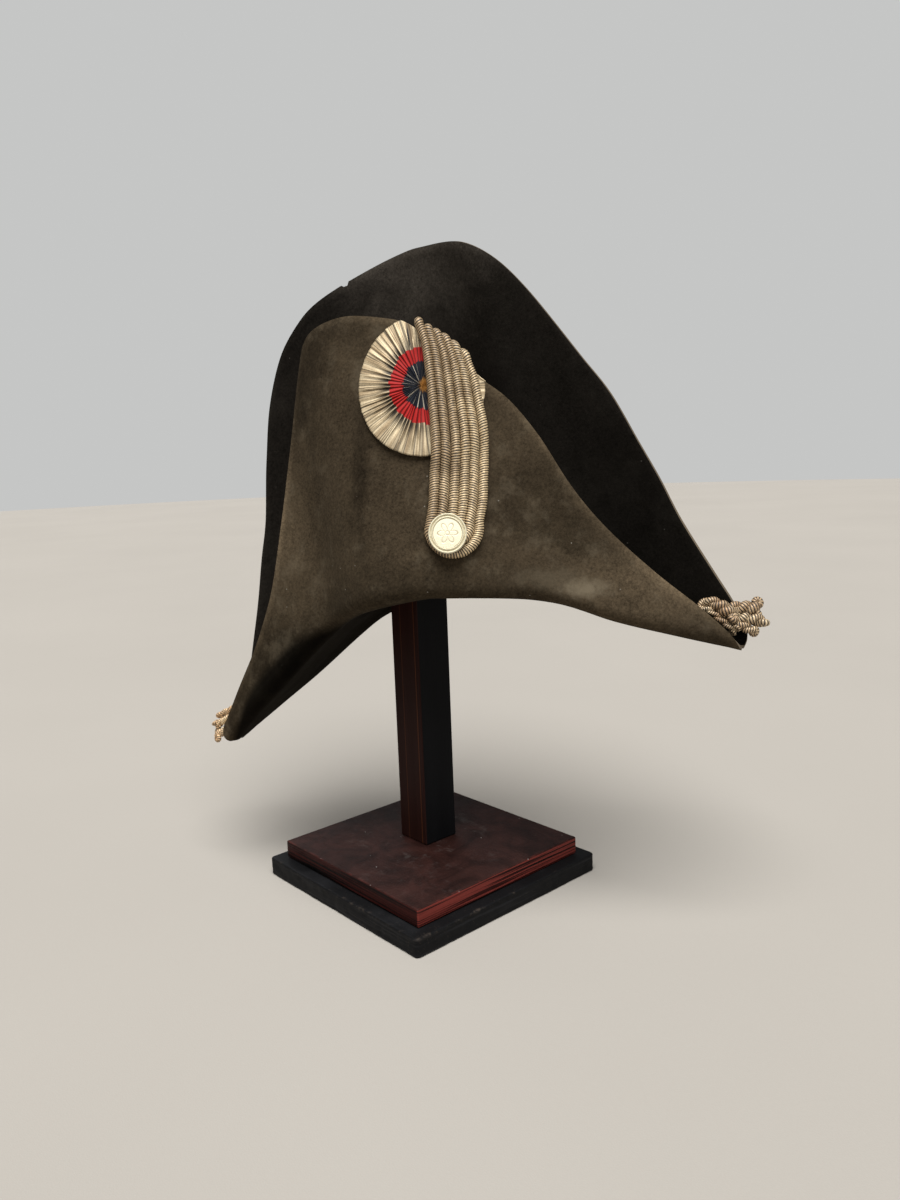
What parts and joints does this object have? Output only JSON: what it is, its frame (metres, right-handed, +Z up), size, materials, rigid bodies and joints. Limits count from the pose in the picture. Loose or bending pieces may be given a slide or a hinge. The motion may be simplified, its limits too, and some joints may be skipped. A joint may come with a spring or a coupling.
{
  "type": "bicorne on wooden stand",
  "caption": "Felt bicorne with cockade, bullion loops, button and horn tassels on a plain wooden stand with a square post.",
  "frame": {"origin": "middle of the stand's underside", "axes": "+Z up, the hat's front faces -Y and its horns lie along X; the stand's square boards are turned about Z as in the picture"},
  "size_m": [0.539, 0.3052, 0.6001],
  "materials": {
    "felt": "worn matt felt",
    "ribbon": "silvered ribbon with a red ring",
    "bullion": "wound bullion thread, aged",
    "button_metal": "silvered, satin",
    "black_wood": "black stain, worn edges",
    "red_wood": "dark red-brown stain, satin"
  },
  "bodies": {
    "root": {"felt_body": "felt", "cockade": "ribbon", "loop_cord_outer": "bullion", "loop_cord_middle": "bullion", "loop_cord_inner": "bullion", "button": "button_metal", "tassel_left": "bullion", "tassel_right": "bullion", "lower_board": "black_wood", "upper_board": "red_wood", "post": "red_wood"}
  },
  "joints": []
}
